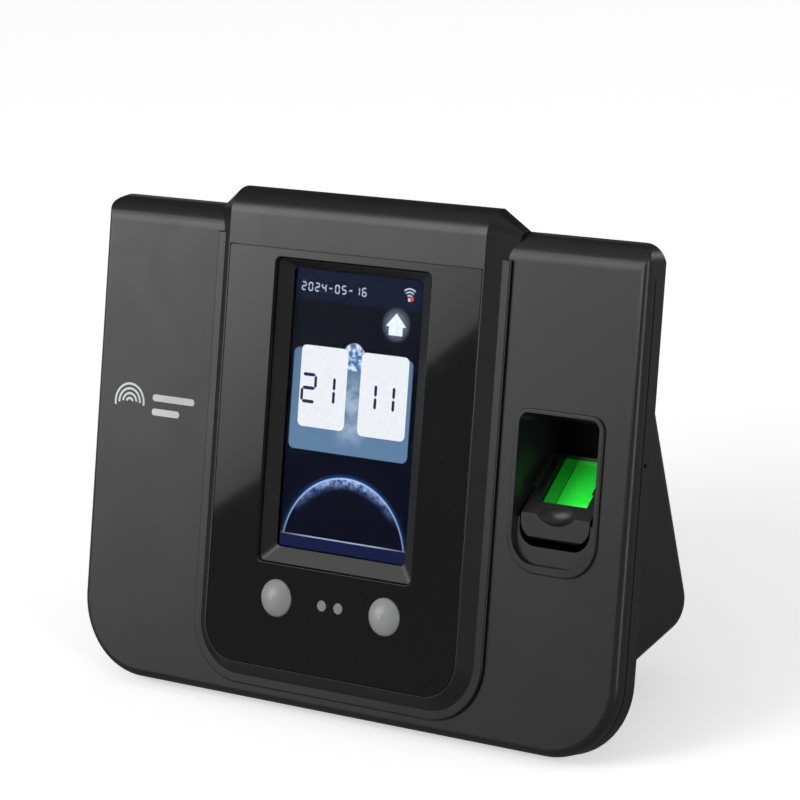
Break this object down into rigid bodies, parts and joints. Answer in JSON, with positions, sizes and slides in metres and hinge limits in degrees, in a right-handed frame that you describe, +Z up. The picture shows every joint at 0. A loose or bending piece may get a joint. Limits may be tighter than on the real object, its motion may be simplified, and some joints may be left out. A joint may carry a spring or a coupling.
{
  "type": "fingerprint terminal",
  "caption": "Wall-mount access terminal with a sloping panel, a raised middle module with a display and lens covers, and a lit fingerprint well.",
  "frame": {"origin": "middle of the wall plate on the wall face, which is the centre of its screw pattern", "axes": "+X to the right as seen by a person facing the panel, +Y into the wall, +Z up; the panel leans back from upright"},
  "size_m": [0.2276, 0.0753, 0.1647],
  "materials": {
    "shell_black": "fine spark-textured black moulding",
    "module_black": "satin black moulding, a little smoother than the shell",
    "lens_black": "polished black acrylic",
    "tape": "black adhesive tape",
    "touch_glass": "clear touch glass",
    "screen": "lit colour display",
    "cover_frost": "frosted light grey lens cover",
    "status_grey": "flat grey status lens",
    "well_black": "smooth black moulding",
    "sensor_glass": "polished sensor glass, lit green from below",
    "board_green": "solder mask",
    "chip_black": "moulded package",
    "lamp_clear": "tinted lamp body",
    "lead_white": "flat lead",
    "fin_aluminium": "extruded",
    "tin_plate": "tinned sheet",
    "brass_post": "turned",
    "connector_black": "moulded",
    "terminal_green": "moulded",
    "foam": "soft foam ring",
    "pin_white": "moulded",
    "relay_blue": "moulded",
    "zinc_plate": "zinc-plated sheet steel",
    "screw_black": "black oxide",
    "screw_zinc": "zinc-plated"
  },
  "bodies": {
    "wall_bracket": {"wall_plate": "zinc_plate"},
    "tamper_pin": {"tamper_plunger": "pin_white"},
    "reset_key": {"reset_button": "chip_black"},
    "terminal": {"backup_battery": "tin_plate", "battery_holder": "chip_black", "bezel_screws": "screw_zinc", "board_screws": "screw_zinc", "bracket_screws": "screw_zinc", "camera_board": "board_green", "camera_left": "chip_black", "camera_right": "chip_black", "camera_screws": "screw_zinc", "case_screws": "screw_black", "center_bezel": "module_black", "connector_board": "board_green", "display_bezel": "module_black", "display_bracket": "tin_plate", "display_cable": "lead_white", "finger_guide": "well_black", "finger_well": "well_black", "front_shell": "shell_black", "heat_spreader": "fin_aluminium", "ir_leds": "lamp_clear", "lcd_backlight": "tin_plate", "lcd_panel": "screen", "lens_cover_left": "cover_frost", "lens_cover_right": "cover_frost", "lens_plate": "lens_black", "lens_tape": "tape", "main_board": "board_green", "memory_chip": "chip_black", "network_jack": "connector_black", "power_jack": "connector_black", "processor": "chip_black", "rear_shell": "shell_black", "relay": "relay_blue", "reset_board": "board_green", "reset_switch": "tin_plate", "sensor_cable": "lead_white", "sensor_housing": "well_black", "sensor_imager": "chip_black", "sensor_led_board": "board_green", "sensor_prism": "sensor_glass", "speaker": "connector_black", "speaker_gasket": "foam", "standoffs": "brass_post", "status_lens_left": "status_grey", "status_lens_right": "status_grey", "tamper_switch": "connector_black", "terminal_block": "terminal_green", "touch_panel": "touch_glass", "usb_port": "tin_plate", "wifi_antenna": "board_green"}
  },
  "joints": [
    {"name": "lift_off", "type": "slide", "parent": "wall_bracket", "child": "terminal", "axis": [0, 0, 1], "range_m": [0, 0.009]},
    {"name": "tamper_press", "type": "slide", "parent": "terminal", "child": "tamper_pin", "axis": [0, -1, 0], "range_m": [0, 0.0018], "stiffness_N_per_m": 300},
    {"name": "reset_press", "type": "slide", "parent": "terminal", "child": "reset_key", "axis": [-1, 0, 0], "range_m": [0, 0.0004], "stiffness_N_per_m": 1500}
  ]
}
